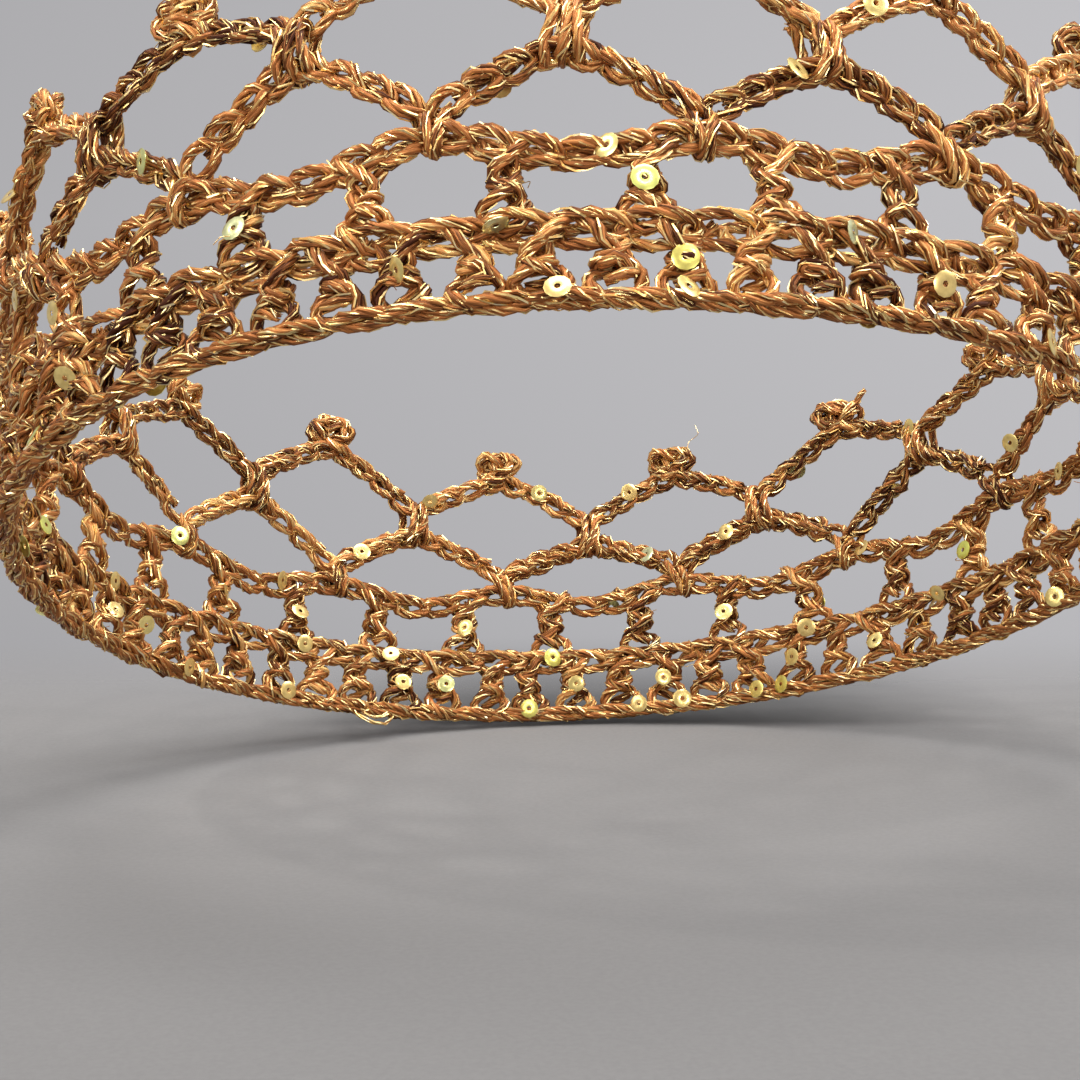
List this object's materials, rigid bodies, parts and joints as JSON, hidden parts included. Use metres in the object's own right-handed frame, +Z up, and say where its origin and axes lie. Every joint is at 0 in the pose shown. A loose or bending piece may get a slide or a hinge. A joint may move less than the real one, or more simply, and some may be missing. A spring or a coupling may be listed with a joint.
{
  "type": "crocheted crown",
  "caption": "Openwork crown crocheted in the round from metallic yarn: an edge band of posts, a mesh row, two rows of arches with picot peaks, and small sequins.",
  "frame": {"origin": "centre of the crown on the flat underside of its edge chain", "axes": "+Z up along the crown's axis towards the peaks; +Y towards the middle of the back, where the round was pictured from inside"},
  "size_m": [0.164, 0.164, 0.053],
  "materials": {
    "copper_yarn": "copper-brown metallic floss yarn with fine gold thread, stiffened",
    "gold_sequin": "pale gold metallised film sequins, some clear or iridescent"
  },
  "bodies": {
    "root": {"foundation_chain": "copper_yarn", "round_one_stitches": "copper_yarn", "round_one_edge": "copper_yarn", "mesh_posts": "copper_yarn", "mesh_edge": "copper_yarn", "tall_stitches": "copper_yarn", "saddle_stitches": "copper_yarn", "picot_knots": "copper_yarn", "yarn_tail": "copper_yarn", "lower_arch_01": "copper_yarn", "lower_arch_02": "copper_yarn", "lower_arch_03": "copper_yarn", "lower_arch_04": "copper_yarn", "lower_arch_05": "copper_yarn", "lower_arch_06": "copper_yarn", "lower_arch_07": "copper_yarn", "lower_arch_08": "copper_yarn", "lower_arch_09": "copper_yarn", "lower_arch_10": "copper_yarn", "lower_arch_11": "copper_yarn", "lower_arch_12": "copper_yarn", "lower_arch_13": "copper_yarn", "lower_arch_14": "copper_yarn", "lower_arch_15": "copper_yarn", "lower_arch_16": "copper_yarn", "upper_arch_01": "copper_yarn", "upper_arch_02": "copper_yarn", "upper_arch_03": "copper_yarn", "upper_arch_04": "copper_yarn", "upper_arch_05": "copper_yarn", "upper_arch_06": "copper_yarn", "upper_arch_07": "copper_yarn", "upper_arch_08": "copper_yarn", "upper_arch_09": "copper_yarn", "upper_arch_10": "copper_yarn", "upper_arch_11": "copper_yarn", "upper_arch_12": "copper_yarn", "upper_arch_13": "copper_yarn", "upper_arch_14": "copper_yarn", "upper_arch_15": "copper_yarn", "upper_arch_16": "copper_yarn", "edge_sequins": "gold_sequin", "round_one_sequins": "gold_sequin", "mesh_sequins": "gold_sequin", "arch_sequins": "gold_sequin"}
  },
  "joints": []
}
